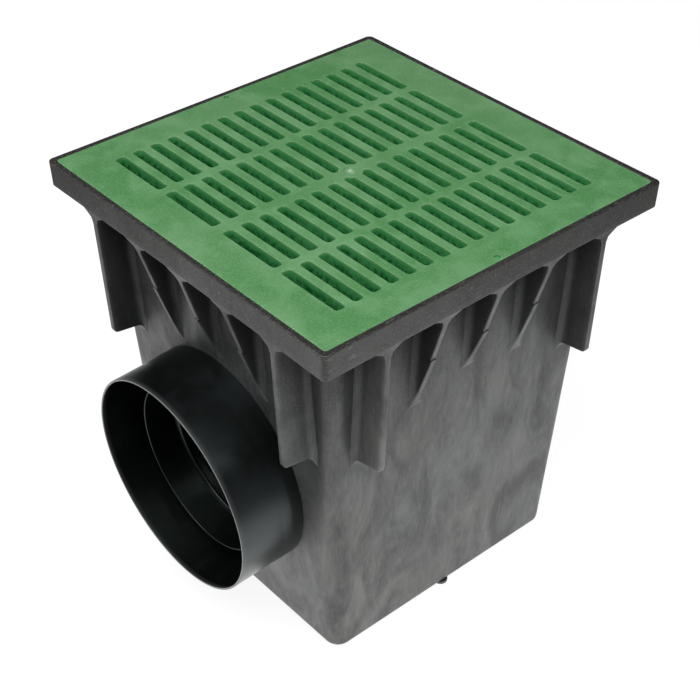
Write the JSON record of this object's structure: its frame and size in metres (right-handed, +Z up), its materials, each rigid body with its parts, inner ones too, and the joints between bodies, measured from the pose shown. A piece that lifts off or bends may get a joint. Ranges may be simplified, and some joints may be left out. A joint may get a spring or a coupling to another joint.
{
  "type": "catch basin",
  "caption": "Square plastic catch basin with tapered walls, gussets under an overhanging rim, a slotted drain grate seated in the rim and a round pipe stub in one wall",
  "frame": {"origin": "centre of the basin's flat underside, which stands on the ground or on bedding", "axes": "+Z up through the open top; -Y out through the wall that carries the outlet stub; +X along that wall, to the right seen from outside it"},
  "size_m": [0.4736, 0.5092, 0.5],
  "materials": {
    "basin_plastic": "black structural foam plastic with cloudy grey swirls and light scuffs",
    "grate_plastic": "green moulded plastic, softly mottled, with pale flow marks",
    "outlet_plastic": "smooth semi-gloss black plastic"
  },
  "bodies": {
    "root": {"basin": "basin_plastic", "grate": "grate_plastic", "outlet_stub": "outlet_plastic"}
  },
  "joints": []
}
